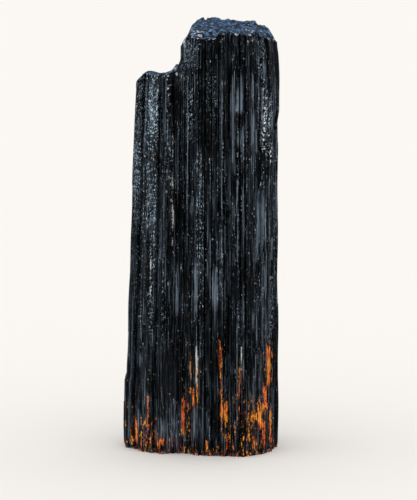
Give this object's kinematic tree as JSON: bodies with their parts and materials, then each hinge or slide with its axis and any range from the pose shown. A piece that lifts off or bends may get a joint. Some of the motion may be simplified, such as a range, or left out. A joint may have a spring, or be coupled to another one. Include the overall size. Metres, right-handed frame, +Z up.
{
  "type": "tourmaline crystal",
  "caption": "black tourmaline crystal log, two striated prisms grown together, with a rough broken top, a side shoulder and orange stain low down",
  "frame": {"origin": "middle of the underside of the crystal's box, on the plane of the flat base", "axes": "+Z up along the crystal, the front with the deep valley between the prisms faces -Y, the short prism is on the -X side"},
  "size_m": [0.0946, 0.0746, 0.262],
  "materials": {
    "tourmaline": "dull glassy, striated along its length, with rough breaks and orange iron stain low down"
  },
  "bodies": {
    "root": {"tourmaline_crystal": "tourmaline"}
  },
  "joints": []
}
